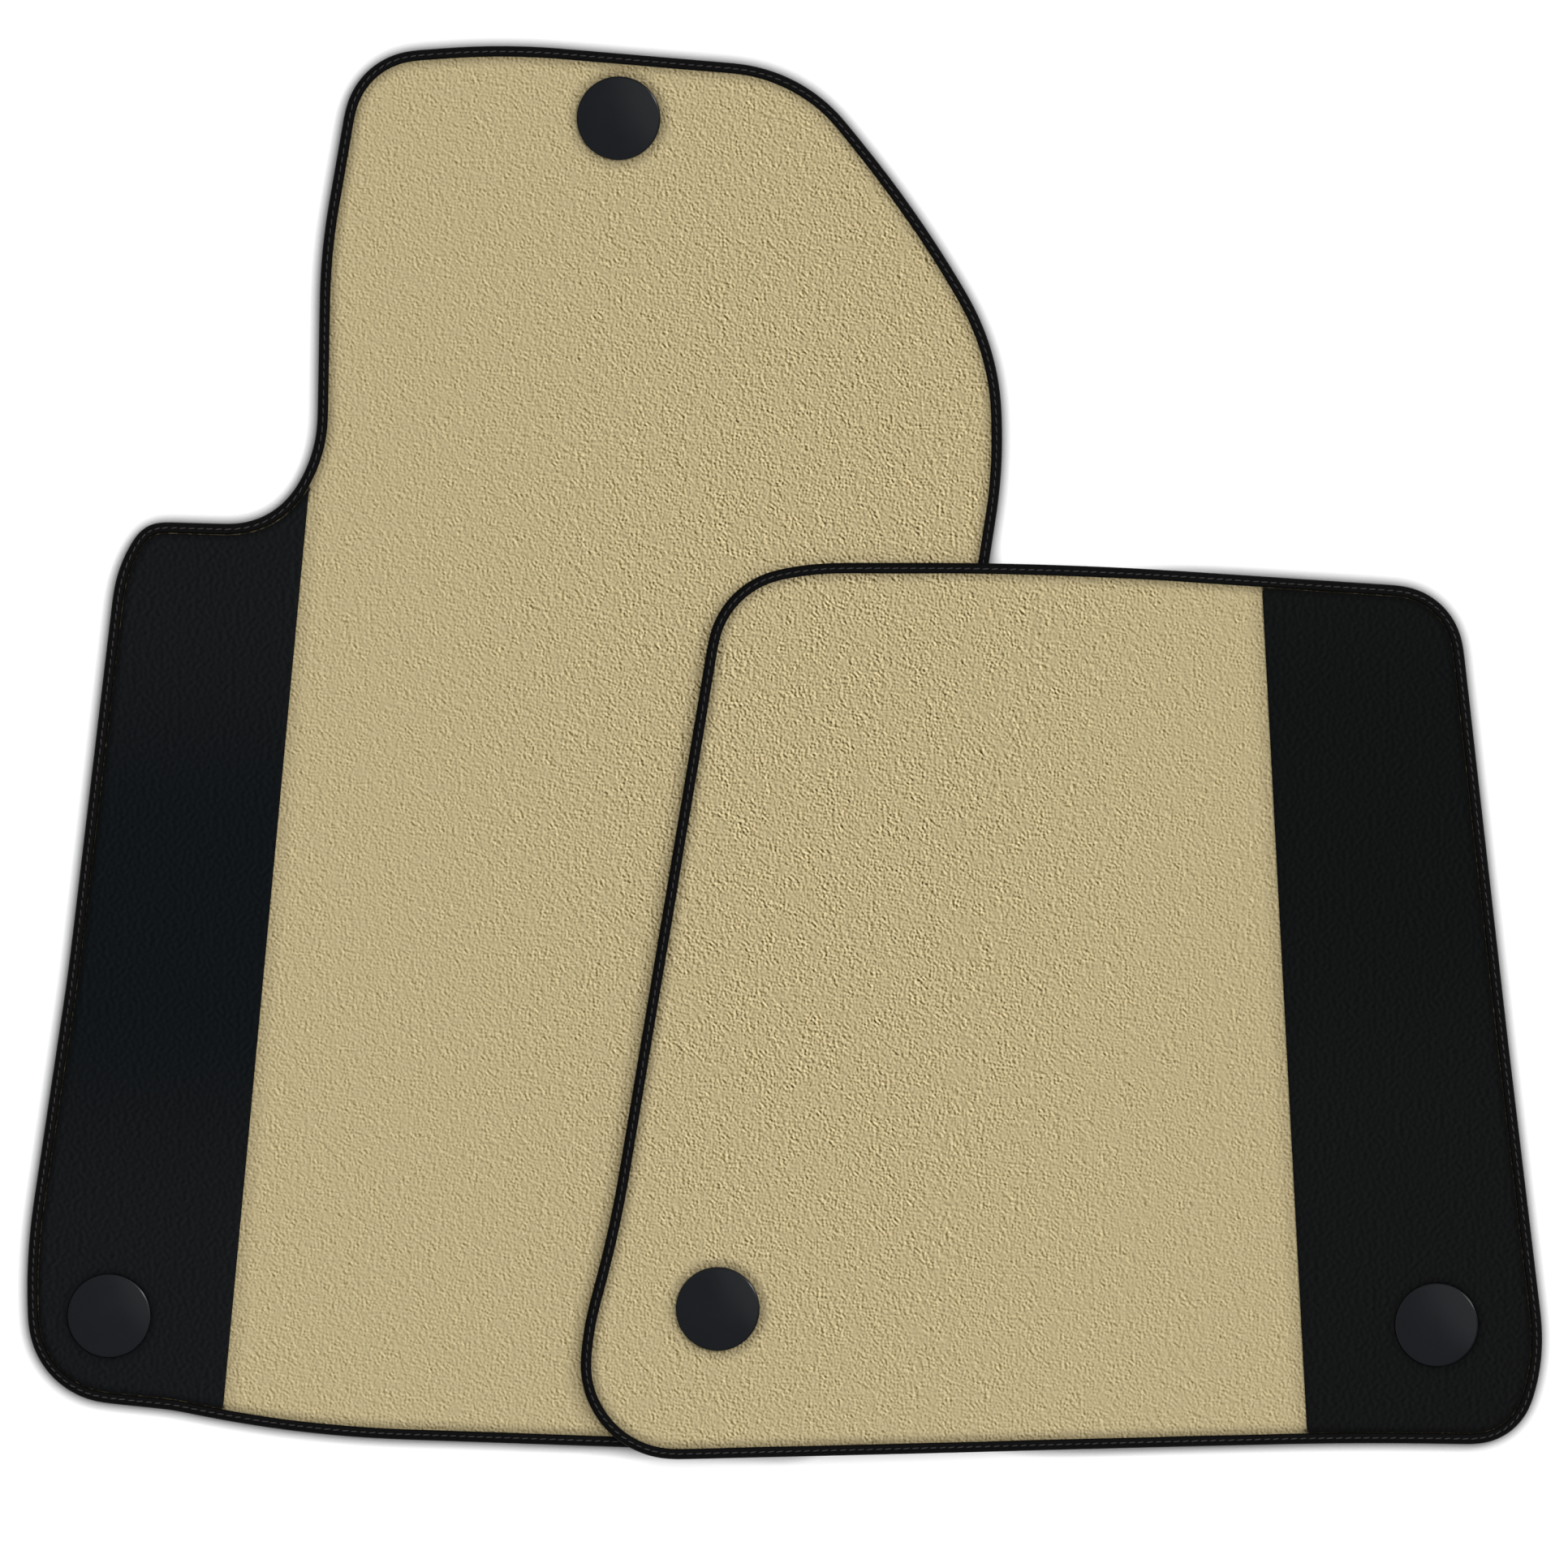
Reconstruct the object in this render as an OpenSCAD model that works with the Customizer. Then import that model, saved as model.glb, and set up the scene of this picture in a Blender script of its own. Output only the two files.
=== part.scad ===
// Front floor mat set: a driver mat with a long toe section and a passenger mat that lies across its
// rear right quarter. Each mat is a rubber backing, a pile carpet, a side panel, an edge binding and
// its thread, held to the floor by press fasteners of a cap, a socket and a snap ring.
// Corner values are [in from a side edge, in from the rear or front edge, corner radius].

/* [Driver mat outline] */
// Length from the rear edge to the crown of the toe edge
driver_l = 780; // [740:1:840]
// Width from the left edge to the hip on the right
driver_w = 541; // [515:1:570]
// Crown of the toe edge, from left and front
driver_crown = [265, 0, 410]; // [0:1:450]
// Left corner of the toe edge, from left and front
driver_toe_left = [182, 6, 42]; // [0:1:450]
// Waist beside the footrest recess, from left and front
driver_waist = [163, 115, 350]; // [0:1:450]
// Front bend of the footrest recess, from left and rear
driver_recess_front = [161, 551, 76]; // [0:1:600]
// Rear bend of the footrest recess, from left and rear
driver_recess_rear = [135, 513, 44]; // [0:1:600]
// Front bend of the left shoulder, from left and rear
driver_shoulder_front = [66, 515, 17]; // [0:1:600]
// Side bend of the left shoulder, from left and rear
driver_shoulder_side = [50, 492, 75]; // [0:1:600]
// Slight bend of the left side, from left and rear
driver_side = [23, 265, 1150]; // [0:1:1300]
// Bend of the left side above the heel, from left and rear
driver_heel = [-1, 105, 330]; // [-5:1:450]
// Rear left corner, from left and rear
driver_rear_left = [3, 31, 48]; // [0:1:150]
// Step in the rear edge, from left and rear
driver_rear_step = [80, 23, 60]; // [0:1:200]
// Slight bend of the rear edge, from left and rear
driver_rear_bend = [153, 8.5, 700]; // [0:0.5:800]
// Rear right corner, from right and rear
driver_rear_right = [85, -2, 44]; // [-5:1:150]
// Rear bend of the hip, from right and front
driver_hip_rear = [0, 236, 280]; // [0:1:450]
// Front bend of the hip, from right and front
driver_hip_front = [2, 170, 140]; // [0:1:450]
// Slight bend of the right flank, from right and front
driver_flank = [45, 96, 650]; // [0:1:750]
// Right corner of the toe edge, from right and front
driver_toe_right = [111, 14, 89]; // [0:1:150]

/* [Passenger mat outline] */
// Length from the rear edge to the front edge
passenger_l = 497; // [475:1:530]
// Width from the left edge to the right edge
passenger_w = 533; // [510:1:560]
// Place of its left edge, from the left edge of the driver mat
passenger_across = 307.5; // [297:0.5:317]
// Place of its rear edge, from the rear edge of the driver mat
passenger_along = -5; // [-20:1:10]
// Middle of the front edge, from left and front
passenger_front = [264, 0, 2300]; // [0:1:2500]
// Slight bend of the front edge, from left and front
passenger_front_bend = [126.5, 0, 172]; // [0:0.5:200]
// Front left corner, from left and front
passenger_front_left = [76, 11, 50]; // [0:0.5:150]
// Bend of the left side, from left and rear
passenger_side = [16.5, 131.5, 620]; // [0:0.5:700]
// Bend of the left side above the heel, from left and rear
passenger_heel_left = [2, 76, 139]; // [0:0.5:150]
// Rear left corner, from left and rear
passenger_rear_left = [-6.5, -0.5, 52]; // [-10:0.5:150]
// Slight bend of the rear edge, from right and rear
passenger_rear = [101.5, 10, 2400]; // [0:0.5:2600]
// Rear right corner, from right and rear
passenger_rear_right = [14, 8.5, 34]; // [0:0.5:150]
// Bend of the right side above the heel, from right and rear
passenger_heel_right = [-1.5, 56, 109]; // [-5:0.5:150]
// Slight bend of the right side, from right and rear
passenger_flank = [19.5, 231.5, 1800]; // [0:0.5:2000]
// Front right corner, from right and front
passenger_front_right = [48, 14.5, 39]; // [0:0.5:150]

/* [Mat layers] */
// Thickness of the rubber backing
backing_t = 3; // [2.5:0.1:4]
// Height of the carpet pile above the backing
pile_t = 5; // [4:0.1:7]
// Height of the sewn side panels above the pile
panel_t = 2; // [1:0.1:3]
// Strip of carpet left bare between the side panel and the binding
panel_reveal = 0.5; // [0.3:0.1:3]
// Width of the driver side panel at the rear edge
driver_panel_rear_w = 106.5; // [80:0.5:130]
// Width of the driver side panel at the recess
driver_panel_front_w = 154.5; // [130:0.5:158]
// Width of the passenger side panel at the rear edge
passenger_panel_rear_w = 130; // [100:0.5:160]
// Width of the passenger side panel at the front edge
passenger_panel_front_w = 156.5; // [120:0.5:180]

/* [Edge binding] */
// Width of the binding on the mat's face
tape_w = 5.5; // [4:0.1:9]
// Thickness of the binding tape
tape_t = 0.9; // [0.6:0.1:1.2]
// Height of the binding above the pile
tape_proud = 0.2; // [0:0.1:0.5]
// Height of the binding above the floor
tape_lift = 0.5; // [0.4:0.1:0.8]
// Width of the thread line along the binding
thread_w = 0.8; // [0.5:0.1:1.2]
// Height of the thread line on the binding
thread_t = 0.3; // [0.2:0.05:0.35]

/* [Passenger mat drape] */
// Gap between the driver mat's highest point and the passenger mat
mat_gap = 0.3; // [0.2:0.1:1]
// Distance past the driver mat's right side where the passenger mat starts to fall
drape_start = 12; // [5:1:20]
// Distance over which the passenger mat falls to the floor
drape_run = 180; // [140:1:195]

/* [Fastener places] */
// Driver toe fastener, from left and front
driver_toe_at = [328, 41]; // [38:1:330]
// Driver outer fastener, from left and rear
driver_outer_at = [45.5, 75]; // [45:0.5:76]
// Driver inner fastener, from right and rear
driver_inner_at = [112.5, 57]; // [50:0.5:113]
// Passenger inner fastener, from left and rear
passenger_inner_at = [75.5, 84]; // [60:0.5:85]
// Passenger outer fastener, from right and rear
passenger_outer_at = [59, 75]; // [55:0.5:76]

/* [Fastener cap] */
// Diameter of the cap
cap_d = 46; // [42:0.5:50]
// Thickness of the cap at its rim
cap_rim_t = 2.4; // [2.2:0.1:3]
// Rise of the cap's crown above its rim
cap_crown = 0.9; // [0.4:0.1:1.5]
// Rounding of the cap's edge
cap_edge_r = 0.8; // [0.4:0.1:1.2]
// Depth to which a cap presses the pile down
cap_sink = 1.8; // [1:0.1:2]
// Diameter of the barrel under the cap
barrel_d = 19; // [18:0.5:20]
// Height of the chamber for the floor stud's head, above the socket plate
chamber_h = 3.4; // [3:0.1:3.6]

/* [Fastener socket] */
// Diameter of the socket plate
plate_d = 38; // [34:0.5:42]
// Thickness of the socket plate, the length of its throat
plate_t = 2; // [1.5:0.1:2.4]
// Height of the socket plate above the floor
plate_lift = 0.2; // [0.1:0.05:0.4]
// Diameter of the throat that the floor stud enters by
throat_d = 12.4; // [11:0.1:12.8]
// Height of the socket collar above its plate
collar_h = 2.4; // [2.2:0.1:3]
// Wall of the socket collar
collar_wall = 1.8; // [1.2:0.1:2.4]
// Height of the retaining bead above the plate
bead_z = 1.3; // [1.1:0.1:1.4]
// Half the width of the retaining bead
bead_half_w = 0.4; // [0.3:0.05:0.5]
// Reach of the retaining bead into the barrel's groove
bead_h = 0.45; // [0.3:0.05:0.55]

/* [Snap ring] */
// Inside diameter of the snap ring
ring_in_d = 10.8; // [10:0.1:11.5]
// Outside diameter of the snap ring
ring_out_d = 13.8; // [13.4:0.1:14]
// Thickness of the snap ring
ring_t = 1; // [0.7:0.1:1.2]
// Height of the lip that carries the snap ring
ring_lip = 0.7; // [0.4:0.1:1]
// Arc of the snap ring, the rest is its gap
ring_arc = 305; // [270:5:330]

/* [Fits] */
// Radial clearance between barrel and collar, and between bead and groove
snap_gap = 0.15; // [0.1:0.05:0.25]
// Radial clearance of the snap ring in its groove
ring_gap = 0.3; // [0.2:0.05:0.4]
// Step in radius from the throat up to the barrel's mouth
mouth_gap = 0.16; // [0.1:0.02:0.3]
// Radial clearance of cap, collar and plate in the mat
mat_hole_gap = 0.4; // [0.2:0.1:0.8]

/* [Hidden] */
$fn = 96;

beige = "#bfae84";
black = "#16171a";
rubber = "#1e1e1f";
thread_grey = "#474344";
plastic = "#212327";
steel = "#8b8d90";

// Longest chord along a rounded corner, and the least distance between two points of an outline
arc_step = 8;
least_step = 0.4;
// Facets of the drape and of the cap's curves
drape_steps = 16;
crown_steps = 10;
edge_steps = 5;

// Heights above the underside of a mat
mat_t = backing_t + pile_t;
tape_top = mat_t + tape_proud;
tape_face = tape_top - tape_t;
tape_under = tape_lift + tape_t;
plate_top = plate_lift + plate_t;
cap_top = mat_t - cap_sink + cap_rim_t + cap_crown;
drape_lift = max(cap_top, tape_top + thread_t) + mat_gap;

// Radii of the fastener
cap_r = cap_d / 2;
barrel_r = barrel_d / 2;
collar_in_r = barrel_r + snap_gap;
collar_out_r = collar_in_r + collar_wall;
bead_r = collar_in_r - bead_h;
groove_r = bead_r - snap_gap;
ring_groove_r = ring_out_d / 2 + ring_gap;
lip_r = throat_d / 2 + mouth_gap;

// Points of the corners, in from the four edges of a mat of width w and length l
function from_left(c) = c;
function from_left_front(c, l) = [c.x, l - c.y, c.z];
function from_right(c, w) = [w - c.x, c.y, c.z];
function from_right_front(c, w, l) = [w - c.x, l - c.y, c.z];

driver_corners = [
    from_left_front(driver_crown, driver_l),
    from_left_front(driver_toe_left, driver_l),
    from_left_front(driver_waist, driver_l),
    from_left(driver_recess_front),
    from_left(driver_recess_rear),
    from_left(driver_shoulder_front),
    from_left(driver_shoulder_side),
    from_left(driver_side),
    from_left(driver_heel),
    from_left(driver_rear_left),
    from_left(driver_rear_step),
    from_left(driver_rear_bend),
    from_right(driver_rear_right, driver_w),
    from_right_front(driver_hip_rear, driver_w, driver_l),
    from_right_front(driver_hip_front, driver_w, driver_l),
    from_right_front(driver_flank, driver_w, driver_l),
    from_right_front(driver_toe_right, driver_w, driver_l),
];

passenger_corners = [
    from_left_front(passenger_front, passenger_l),
    from_left_front(passenger_front_bend, passenger_l),
    from_left_front(passenger_front_left, passenger_l),
    from_left(passenger_side),
    from_left(passenger_heel_left),
    from_left(passenger_rear_left),
    from_right(passenger_rear, passenger_w),
    from_right(passenger_rear_right, passenger_w),
    from_right(passenger_heel_right, passenger_w),
    from_right(passenger_flank, passenger_w),
    from_right_front(passenger_front_right, passenger_w, passenger_l),
];

function flat(p) = [p.x, p.y];
function unit(v) = v / norm(v);
function turn(a) = a - 360 * round(a / 360);

// Half of the angle inside corner i, and the length of edge that its full radius would take
function half_angle(c, i) =
    let (n = len(c), b = flat(c[i]))
    let (u = unit(flat(c[(i + n - 1) % n]) - b), v = unit(flat(c[(i + 1) % n]) - b))
    acos(u * v) / 2;
function edge_used(c, i) = c[i].z / tan(half_angle(c, i));

// Share of the radii at both ends of edge i that fits on that edge
function edge_share(c, i) =
    let (n = len(c), k = (i + 1) % n)
    min(1, norm(flat(c[k]) - flat(c[i])) / (edge_used(c, i) + edge_used(c, k)));

// Points of the arc that rounds corner i
function corner_arc(c, i) =
    let (n = len(c), h = (i + n - 1) % n, b = flat(c[i]))
    let (u = unit(flat(c[h]) - b), v = unit(flat(c[(i + 1) % n]) - b), half = half_angle(c, i))
    let (r = c[i].z * min(edge_share(c, h), edge_share(c, i)))
    let (centre = b + unit(u + v) * r / sin(half))
    let (from = b + u * r / tan(half) - centre, to = b + v * r / tan(half) - centre)
    let (start = atan2(from.y, from.x), sweep = turn(atan2(to.y, to.x) - start))
    let (steps = max(1, ceil(abs(sweep) * PI / 180 * r / arc_step)))
    [for (k = [0:steps]) centre + r * [cos(start + sweep * k / steps), sin(start + sweep * k / steps)]];

// The whole outline, with one point where two arcs meet
function rounded(c) =
    let (pts = [for (i = [0:len(c) - 1]) each corner_arc(c, i)], n = len(pts))
    [for (i = [0:n - 1]) if (norm(pts[i] - pts[(i + n - 1) % n]) > least_step) pts[i]];

// The outline moved inwards by d, for an outline that runs counterclockwise
function inset(pts, d) =
    let (n = len(pts))
    [for (i = [0:n - 1])
        let (u = unit(pts[i] - pts[(i + n - 1) % n]), v = unit(pts[(i + 1) % n] - pts[i]))
        let (normal = unit([-u.y - v.y, u.x + v.x]))
        pts[i] + normal * d / (normal * [-u.y, u.x])];

// Both outlines, then the middle of their common box, which becomes the origin
driver_raw = rounded(driver_corners);
passenger_at = [passenger_across, passenger_along];
passenger_raw = [for (p = rounded(passenger_corners)) p + passenger_at];
all_x = [for (p = concat(driver_raw, passenger_raw)) p.x];
all_y = [for (p = concat(driver_raw, passenger_raw)) p.y];
middle = [min(all_x) + max(all_x), min(all_y) + max(all_y)] / 2;
driver_at = -middle;
passenger_place = passenger_at - middle;
driver_edge = [for (p = driver_raw) p - middle];
passenger_edge = [for (p = passenger_raw) p - middle];

// The line of the driver mat's right side, where the passenger mat drapes over it
drape_from = driver_at + flat(from_right(driver_rear_right, driver_w));
drape_to = driver_at + flat(from_right_front(driver_hip_rear, driver_w, driver_l));
drape_turn = atan2(drape_to.y - drape_from.y, drape_to.x - drape_from.x) - 90;
drape_far = driver_w + passenger_w;
drape_end = drape_start + drape_run;
drape_r = (drape_run ^ 2 + drape_lift ^ 2) / (4 * drape_lift);

// Height of the passenger mat's underside at a distance u from that line: two arcs that meet midway
function drape(u) =
    u <= drape_start ? drape_lift :
    u >= drape_end ? 0 :
    u <= drape_start + drape_run / 2
        ? drape_lift - drape_r + sqrt(drape_r ^ 2 - (u - drape_start) ^ 2)
        : drape_r - sqrt(drape_r ^ 2 - (drape_end - u) ^ 2);

drape_stations = [
    -drape_far,
    for (k = [0:drape_steps]) drape_start + drape_run * k / drape_steps,
    drape_far,
];

// Fastener sites: x, y, height of the mat's underside, height of the cap's seat above it
pile_seat = mat_t - cap_sink;
panel_seat = mat_t;
driver_toe = concat(driver_at + [driver_toe_at.x, driver_l - driver_toe_at.y], [0, pile_seat]);
driver_outer = concat(driver_at + driver_outer_at, [0, panel_seat]);
driver_inner = concat(driver_at + [driver_w - driver_inner_at.x, driver_inner_at.y], [0, pile_seat]);
passenger_inner = concat(passenger_place + passenger_inner_at, [drape_lift, pile_seat]);
passenger_outer = concat(
    passenger_place + [passenger_w - passenger_outer_at.x, passenger_outer_at.y], [0, panel_seat]);
driver_sites = [driver_toe, driver_outer, driver_inner];
passenger_sites = [passenger_inner, passenger_outer];

// A flat layer of a mat between two heights
module layer(pts, low, high) {
    translate([0, 0, low])
        linear_extrude(height = high - low)
            polygon(pts);
}

// A layer of the draped mat between two heights above its underside
module draped_layer(pts, low, high) {
    under = [for (u = drape_stations) [u, drape(u) + low]];
    over = [for (k = [len(drape_stations) - 1:-1:0]) [drape_stations[k], drape(drape_stations[k]) + high]];
    intersection() {
        layer(pts, low - mat_t, drape_lift + high + mat_t);
        translate([drape_from.x, drape_from.y, 0])
            rotate([90, 0, drape_turn])
                linear_extrude(height = 2 * drape_far, center = true)
                    polygon(concat(under, over));
    }
}

module mat_layer(pts, low, high, draped) {
    if (draped)
        draped_layer(pts, low, high);
    else
        layer(pts, low, high);
}

// The space that a fastener takes in the mat: plate recess, collar hole and, in bare pile, a cap pocket
module fastener_space(site) {
    top = mat_t + panel_t;
    translate([site[0], site[1], site[2]]) {
        translate([0, 0, -plate_lift])
            cylinder(r = plate_d / 2 + mat_hole_gap, h = plate_top + plate_lift);
        cylinder(r = collar_out_r + mat_hole_gap, h = top);
        if (site[3] < mat_t)
            translate([0, 0, site[3]])
                cylinder(r = cap_r + mat_hole_gap, h = top);
    }
}

// The strip along the edge of a mat that a leg of the binding takes, between two heights
module rim(edge, low, high, draped) {
    difference() {
        mat_layer(edge, low, high, draped);
        mat_layer(inset(edge, tape_w), low - tape_t, high + tape_t, draped);
    }
}

module backing(edge, sites, draped) {
    color(rubber)
        difference() {
            mat_layer(inset(edge, tape_t), 0, backing_t, draped);
            rim(edge, -tape_t, tape_under, draped);
            for (site = sites)
                fastener_space(site);
        }
}

module carpet(edge, sites, draped) {
    color(beige)
        difference() {
            mat_layer(inset(edge, tape_t), backing_t, mat_t, draped);
            rim(edge, tape_face, mat_t + tape_t, draped);
            for (site = sites)
                fastener_space(site);
        }
}

// The sewn panel on one side of a mat: the part of the carpet's face inside the given boundary
module side_panel(edge, boundary, site, draped) {
    color(black)
        difference() {
            intersection() {
                mat_layer(inset(edge, tape_w + panel_reveal), mat_t, mat_t + panel_t, draped);
                linear_extrude(height = drape_lift + mat_t + 2 * panel_t)
                    polygon(boundary);
            }
            translate([site[0], site[1], site[2] + mat_t - panel_t])
                cylinder(r = cap_r + mat_hole_gap, h = 3 * panel_t);
        }
}

module edge_binding(edge, draped) {
    color(black)
        difference() {
            rim(edge, tape_lift, tape_top, draped);
            mat_layer(inset(edge, tape_t), tape_under, tape_face, draped);
        }
}

module thread_line(edge, low, draped) {
    difference() {
        mat_layer(inset(edge, (tape_w - thread_w) / 2), low, low + thread_t, draped);
        mat_layer(inset(edge, (tape_w + thread_w) / 2), low - thread_t, low + 2 * thread_t, draped);
    }
}

module binding_thread(edge, draped) {
    color(thread_grey) {
        thread_line(edge, tape_top, draped);
        thread_line(edge, tape_lift - thread_t, draped);
    }
}

// Boundaries of the side panels: a straight inner side, the rest runs past the mat
driver_panel_slope = (driver_panel_front_w - driver_panel_rear_w) / driver_recess_rear.y;
driver_panel_front = driver_recess_front.y + driver_recess_front.z / 3;
passenger_panel_slope = (passenger_panel_front_w - passenger_panel_rear_w) / passenger_l;
driver_panel_boundary = [
    [driver_at.x - driver_w, driver_at.y - driver_l],
    driver_at + [driver_panel_rear_w - driver_panel_slope * driver_l, -driver_l],
    driver_at + [driver_panel_rear_w + driver_panel_slope * driver_panel_front, driver_panel_front],
    [driver_at.x - driver_w, driver_at.y + driver_panel_front],
];

passenger_panel_rear_x = passenger_w - passenger_panel_rear_w + passenger_panel_slope * passenger_l;
passenger_panel_front_x = passenger_w - passenger_panel_front_w - passenger_panel_slope * passenger_l;
passenger_panel_boundary = [
    passenger_place + [passenger_panel_rear_x, -passenger_l],
    passenger_place + [2 * passenger_w, -passenger_l],
    passenger_place + [2 * passenger_w, 2 * passenger_l],
    passenger_place + [passenger_panel_front_x, 2 * passenger_l],
];

// Cap: domed disc and hollow barrel, turned about the fastener's axis
module fastener_cap(site) {
    seat = site[3];
    rim = seat + cap_rim_t;
    flat_r = cap_r - cap_edge_r;
    ring_low = plate_top + ring_lip;
    ring_high = ring_low + ring_t + ring_gap;
    groove_low = plate_top + bead_z - bead_half_w - snap_gap;
    groove_high = plate_top + bead_z + bead_half_w + snap_gap;
    crown = [for (k = [0:crown_steps])
        let (r = flat_r * k / crown_steps)
        [r, rim + cap_crown * (1 - (r / flat_r) ^ 2)]];
    edge = [for (k = [1:edge_steps])
        let (a = 90 - 90 * k / edge_steps)
        [flat_r + cap_edge_r * cos(a), rim - cap_edge_r + cap_edge_r * sin(a)]];
    outside = [
        [cap_r, seat], [barrel_r, seat],
        [barrel_r, groove_high], [groove_r, groove_high], [groove_r, groove_low], [barrel_r, groove_low],
        [barrel_r, plate_top],
    ];
    inside = [
        [lip_r, plate_top], [lip_r, ring_low],
        [ring_groove_r, ring_low], [ring_groove_r, ring_high], [lip_r, ring_high],
        [lip_r, plate_top + chamber_h], [0, plate_top + chamber_h],
    ];
    color(plastic)
        translate([site[0], site[1], site[2]])
            rotate_extrude()
                polygon(concat(crown, edge, outside, inside));
}

// Socket: plate under the mat, throat for the floor stud and collar that snaps on the barrel
module fastener_socket(site) {
    throat_r = throat_d / 2;
    collar_top = plate_top + collar_h;
    bead_mid = plate_top + bead_z;
    color(plastic)
        translate([site[0], site[1], site[2]])
            rotate_extrude()
                polygon([
                    [throat_r, plate_lift], [plate_d / 2, plate_lift], [plate_d / 2, plate_top],
                    [collar_out_r, plate_top], [collar_out_r, collar_top], [collar_in_r, collar_top],
                    [collar_in_r, bead_mid + bead_half_w], [bead_r, bead_mid],
                    [collar_in_r, bead_mid - bead_half_w], [collar_in_r, plate_top],
                    [throat_r, plate_top],
                ]);
}

// Snap ring: open spring ring that grips the neck of the floor stud
module fastener_snap_ring(site) {
    color(steel)
        translate([site[0], site[1], site[2] + plate_top + ring_lip])
            rotate([0, 0, (360 - ring_arc) / 2])
                rotate_extrude(angle = ring_arc)
                    translate([ring_in_d / 2, 0])
                        square([(ring_out_d - ring_in_d) / 2, ring_t]);
}

module driver_backing() { backing(driver_edge, driver_sites, false); }
module driver_carpet() { carpet(driver_edge, driver_sites, false); }
module driver_side_panel() { side_panel(driver_edge, driver_panel_boundary, driver_outer, false); }
module driver_edge_binding() { edge_binding(driver_edge, false); }
module driver_binding_thread() { binding_thread(driver_edge, false); }
module passenger_backing() { backing(passenger_edge, passenger_sites, true); }
module passenger_carpet() { carpet(passenger_edge, passenger_sites, true); }
module passenger_side_panel() { side_panel(passenger_edge, passenger_panel_boundary, passenger_outer, true); }
module passenger_edge_binding() { edge_binding(passenger_edge, true); }
module passenger_binding_thread() { binding_thread(passenger_edge, true); }

driver_backing();
driver_carpet();
driver_side_panel();
driver_edge_binding();
driver_binding_thread();
passenger_backing();
passenger_carpet();
passenger_side_panel();
passenger_edge_binding();
passenger_binding_thread();
fastener_cap(driver_toe);  // driver_toe_cap
fastener_socket(driver_toe);  // driver_toe_socket
fastener_snap_ring(driver_toe);  // driver_toe_snap_ring
fastener_cap(driver_outer);  // driver_outer_cap
fastener_socket(driver_outer);  // driver_outer_socket
fastener_snap_ring(driver_outer);  // driver_outer_snap_ring
fastener_cap(driver_inner);  // driver_inner_cap
fastener_socket(driver_inner);  // driver_inner_socket
fastener_snap_ring(driver_inner);  // driver_inner_snap_ring
fastener_cap(passenger_inner);  // passenger_inner_cap
fastener_socket(passenger_inner);  // passenger_inner_socket
fastener_snap_ring(passenger_inner);  // passenger_inner_snap_ring
fastener_cap(passenger_outer);  // passenger_outer_cap
fastener_socket(passenger_outer);  // passenger_outer_socket
fastener_snap_ring(passenger_outer);  // passenger_outer_snap_ring
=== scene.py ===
"""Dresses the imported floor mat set: pile, side panels, stitched bindings, nubbed rubber and caps."""
import math

import bpy
import numpy as np
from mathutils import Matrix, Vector
from mathutils.geometry import delaunay_2d_cdt
from mathutils.kdtree import KDTree


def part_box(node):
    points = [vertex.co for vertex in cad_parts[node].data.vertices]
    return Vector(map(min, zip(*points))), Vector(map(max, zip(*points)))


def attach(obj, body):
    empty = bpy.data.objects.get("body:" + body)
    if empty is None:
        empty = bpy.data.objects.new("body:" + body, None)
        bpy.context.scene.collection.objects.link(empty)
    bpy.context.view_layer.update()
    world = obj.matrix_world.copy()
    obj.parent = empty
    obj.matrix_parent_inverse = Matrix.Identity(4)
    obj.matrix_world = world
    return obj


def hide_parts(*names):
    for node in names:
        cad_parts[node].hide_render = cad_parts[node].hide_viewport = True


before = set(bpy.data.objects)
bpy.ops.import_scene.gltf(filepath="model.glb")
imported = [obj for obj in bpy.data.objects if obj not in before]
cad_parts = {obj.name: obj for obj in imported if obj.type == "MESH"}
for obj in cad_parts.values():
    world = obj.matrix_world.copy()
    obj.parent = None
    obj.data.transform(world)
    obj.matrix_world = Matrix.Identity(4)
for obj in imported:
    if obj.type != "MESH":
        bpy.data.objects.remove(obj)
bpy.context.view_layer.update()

MM = 0.001
MATS = {
    "driver": ["driver_toe", "driver_outer", "driver_inner"],
    "passenger": ["passenger_inner", "passenger_outer"],
}
ON_PANEL = ("driver_outer", "passenger_outer")

# Heights above a mat's underside: lower side, upper side, and the side that the tape folds over
RUBBER_LOW, RUBBER_TOP, RUBBER_RIM = 0.8 * MM, 2.95 * MM, 1.5 * MM
PILE_LOW, PILE_TOP, PILE_RIM = 3.05 * MM, 8.0 * MM, 6.9 * MM
PANEL_LOW, PANEL_TOP = 8.02 * MM, 10.0 * MM

# Width of the tape on a mat's face, and radius of a fastener's cap
TAPE_W, CAP_R = 5.5 * MM, 23.2 * MM

# Spacing of an outline's own points, and how far every other point of a row is set in
OUTLINE_STEP, ROW_STAGGER = 1.0 * MM, 0.02 * MM

# Spacing of points round the edge of a carpet or panel, and over a surface that stays hidden
RIM_STEP, HIDDEN_STEP = 2 * MM, 12 * MM

# Sides of the hole that a fastener's stem passes through, and how far hidden points stay from its axis
HOLE_SIDES, STEM_ROOM = 48, 16 * MM


def triangles_of(name):
    """Corner points, welded to the micrometre, and triangles of a CAD node."""
    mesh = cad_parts[name].data
    mesh.calc_loop_triangles()
    co = np.empty(len(mesh.vertices) * 3)
    mesh.vertices.foreach_get("co", co)
    tri = np.empty(len(mesh.loop_triangles) * 3, np.int32)
    mesh.loop_triangles.foreach_get("vertices", tri)
    points, where = np.unique(np.round(co.reshape(-1, 3), 6), axis=0, return_inverse=True)
    return points, where.reshape(-1)[tri].reshape(-1, 3)


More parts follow.
